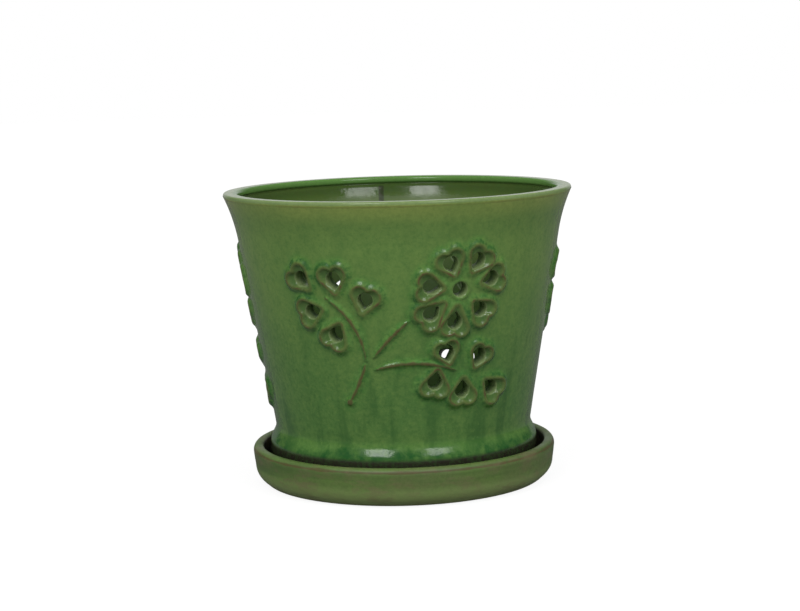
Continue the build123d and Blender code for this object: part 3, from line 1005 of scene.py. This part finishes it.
    def finish(self, colour):
        """Fine dark grain, and bare clay under the stand ring."""
        colour = self.cover(colour, DEEP_GREEN, self.step(self.grain, 0.38, 0.66, 0.0, 0.3), self.calm)
        return self.cover(colour, BARE_CLAY, self.at(STAND_CLAY))

    def roughness(self):
        """Gloss that is duller on worn edges, a little on the relief, and on the inside."""
        relief = self.times(self.step(self.crest, *HEART_GLOSS), self.outside, 0.08)
        dull = self.math("MAXIMUM", self.times(self.worn, 0.3), relief)
        inner = self.times(self.inside, self.at(INNER_DULL, 0.0, 0.24))
        dull = self.math("MAXIMUM", dull, inner)
        return self.math("ADD", self.step(self.breakup, 0.3, 0.7, 0.1, 0.2), dull)


class SaucerGlaze(Glaze):
    """Thinner satin glaze with a brown line where it breaks on the outer edge, painted shade in the hollow
    round the pot, and painted bounce light on its lower side.
    """

    def __init__(self):
        super().__init__("saucer_glaze")
        self.grain = self.noise(480, 4, 0.7)
        self.breakup = self.noise(60, 3, 0.6)
        colour = self.bounce_light_and_thin_patches(self.hollow(self.side()))
        roughness = self.step(self.breakup, 0.3, 0.7, 0.38, 0.52)
        skin = self.bump(self.noise(180, 3, 0.5), *SAUCER_SKIN)
        self.coat(colour, roughness, self.bump(self.grain, *SAUCER_GRAIN, skin))

    def side(self):
        """Clouded and banded glaze with the broken line and a dark grain."""
        cloud = self.noise(34, 4, 0.6)
        band = self.noise(22, 3, 0.55, (0.25, 0.25, 5.0))
        colour = self.mix(self.step(cloud, 0.35, 0.65), SAUCER_GREEN, SAUCER_OLIVE)
        colour = self.cover(colour, SAUCER_DARK, self.step(band, 0.42, 0.66, 0.0, 0.7))
        away = self.math("ABSOLUTE", self.math("SUBTRACT", self.height, SAUCER_LINE_HEIGHT))
        line = self.step(self.wander(away, self.breakup, 2.2), *SAUCER_LINE, 0.0, 0.7)
        colour = self.cover(colour, BREAK_BROWN, line)
        return self.cover(colour, SAUCER_DARK, self.step(self.grain, 0.4, 0.66, 0.0, 0.35))

    def hollow(self, colour):
        """Painted shade in the hollow round the pot, and bare clay under the foot ring."""
        squares = [self.math("POWER", self.place(axis), 2.0) for axis in "XY"]
        radius = self.math("SQRT", self.math("ADD", *squares))
        shares = self.step(radius, *HOLLOW_RADII), self.at(HOLLOW_HEIGHTS)
        # painted shade in the hollow round the pot
        colour = self.cover(colour, GAP_SHADE_BROWN, *shares)
        return self.cover(colour, BARE_CLAY, self.at(SAUCER_CLAY))

    def bounce_light_and_thin_patches(self, colour):
        """Painted bounce light on the lower side, and brownish patches where the glaze is thin."""
        # painted bounce light on the saucer's lower side
        colour = self.cover(colour, SAUCER_BOUNCE_LIGHT, self.at(SAUCER_BOUNCE_HEIGHTS, 0.0, 0.75))
        thin = self.noise(80, 5, 0.7, (0.6, 0.6, 1.6))
        return self.cover(colour, SAUCER_THIN, self.step(thin, 0.46, 0.66, 0.0, 0.5))


# Camera, in metres and radians
CAMERA_DISTANCE = 1.243
CAMERA_RISE = 0.134
CAMERA_ROLL = -0.027
CAMERA_TARGET = Vector((-0.00012, 0.0, 0.1072))
CAMERA_LENS = 90.0
CAMERA_SENSOR = 36.0


def add_camera():
    """Camera a little above the rim, rolled so that the right side stands higher."""
    offset = Vector((0, -cos(CAMERA_RISE), sin(CAMERA_RISE))) * CAMERA_DISTANCE
    back = offset.normalized()
    right = Vector((1, 0, 0))
    up = back.cross(right)
    side = right * cos(CAMERA_ROLL) + up * sin(CAMERA_ROLL)
    top = up * cos(CAMERA_ROLL) - right * sin(CAMERA_ROLL)
    data = bpy.data.cameras.new("camera")
    data.lens, data.sensor_width = CAMERA_LENS, CAMERA_SENSOR
    camera = bpy.data.objects.new("camera", data)
    place = Matrix((side, top, back)).transposed().to_4x4()
    place.translation = CAMERA_TARGET + offset
    camera.matrix_world = place
    bpy.context.scene.collection.objects.link(camera)
    bpy.context.scene.camera = camera


# Softboxes: degrees to the right of the camera, degrees up, distance and width in metres, power in watts
SOFTBOXES = ((-25, 42, 2.2, 0.72, 10), (33, 42, 2.2, 0.72, 7.5))
# Light of the surroundings at the horizon and from the ceiling, and its shares from the front and the back
HORIZON = 0.8
CEILING = 1.1
CEILING_SPAN = (0.0, 0.8)
FRONT_SHARE = 1.2
BACK_SHARE = 0.55
FACING_SPAN = (-1.0, 1.0)
# What the glaze mirrors: a dim room, and the white backdrop straight behind the object
MIRRORED_ROOM = 0.035
MIRRORED_BACKDROP = 0.6
BACKDROP_SPAN = (0.8, 1.0)


def add_softbox(azimuth, rise, distance, width, power):
    """Square soft lamp that looks at the middle of the pot."""
    turn, lift = radians(azimuth), radians(rise)
    away = Vector((sin(turn) * cos(lift), -cos(turn) * cos(lift), sin(lift)))
    data = bpy.data.lights.new("softbox", "AREA")
    data.size, data.energy = width, power
    lamp = bpy.data.objects.new("softbox", data)
    lamp.location = CAMERA_TARGET + away * distance
    lamp.rotation_euler = away.to_track_quat("Z", "Y").to_euler()
    bpy.context.scene.collection.objects.link(lamp)


def seen_rays(shader, mirror_level):
    """Whether a ray shows the background instead of giving light, and how white it is there."""
    path = shader.node("ShaderNodeLightPath").outputs
    clear = shader.math("MAXIMUM", path["Is Camera Ray"], path["Is Transmission Ray"])
    mirrored = path["Is Glossy Ray"]
    white = shader.math("MAXIMUM", clear, shader.times(mirrored, mirror_level))
    return shader.math("MAXIMUM", clear, mirrored), white


def add_world():
    """White surroundings that give soft light, stronger from the ceiling and from the front."""
    sky = Shader(bpy.data.worlds.new("studio"))
    bpy.context.scene.world = sky.owner
    way = sky.node("ShaderNodeSeparateXYZ", {0: sky.node("ShaderNodeTexCoord").outputs["Generated"]}).outputs
    rising = sky.step(way["Z"], *CEILING_SPAN, HORIZON, CEILING, "LINEAR")
    facing = sky.step(way["Y"], *FACING_SPAN, FRONT_SHARE, BACK_SHARE, "LINEAR")
    backdrop = sky.step(way["Y"], *BACKDROP_SPAN, MIRRORED_ROOM, MIRRORED_BACKDROP, "LINEAR")
    seen, white = seen_rays(sky, backdrop)
    background = sky.nodes["Background"].inputs
    sky.put(background["Strength"], sky.step(seen, 0.0, 1.0, sky.times(rising, facing), white, "LINEAR"))
    sky.put(background["Color"], (1, 1, 1, 1))


# Floor, in metres
FLOOR_RADIUS = 6.0
FLOOR_SIDES = 64
FLOOR_DROP = 0.0003
FLOOR_ALBEDO = 0.13
FLOOR_ROUGHNESS = 0.9
FLOOR_GLOW = 0.9


def add_floor():
    """Wide white table top that keeps a faint shadow of the saucer."""
    mesh = bpy.data.meshes.new("floor")
    turns = np.linspace(0, 2 * pi, FLOOR_SIDES, endpoint=False)
    ring = [(FLOOR_RADIUS * cos(turn), FLOOR_RADIUS * sin(turn), -FLOOR_DROP) for turn in turns]
    mesh.from_pydata(ring, [], [list(range(len(ring)))])
    floor = bpy.data.objects.new("floor", mesh)
    bpy.context.scene.collection.objects.link(floor)
    table = Shader(bpy.data.materials.new("table_white"))
    surface = table.nodes["Principled BSDF"].inputs
    table.put(surface["Base Color"], (FLOOR_ALBEDO, FLOOR_ALBEDO, FLOOR_ALBEDO, 1))
    table.put(surface["Roughness"], FLOOR_ROUGHNESS)
    table.put(surface["Specular IOR Level"], 0.0)
    table.put(surface["Emission Color"], (1, 1, 1, 1))
    white = seen_rays(table, MIRRORED_ROOM)[1]
    table.put(surface["Emission Strength"], table.times(white, FLOOR_GLOW))
    mesh.materials.append(table.owner)


def dress(piece, glaze, body, node):
    """Give a piece its glaze and let it stand for a CAD node."""
    piece.data.materials.append(glaze.owner)
    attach(piece, body)
    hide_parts(node)


dress(build_pot(), PotGlaze(), "pot", "pot")
dress(build_saucer(), SaucerGlaze(), "saucer", "saucer")
add_camera()
for softbox in SOFTBOXES:
    add_softbox(*softbox)
add_world()
add_floor()
bpy.context.scene.view_settings.view_transform = "Standard"
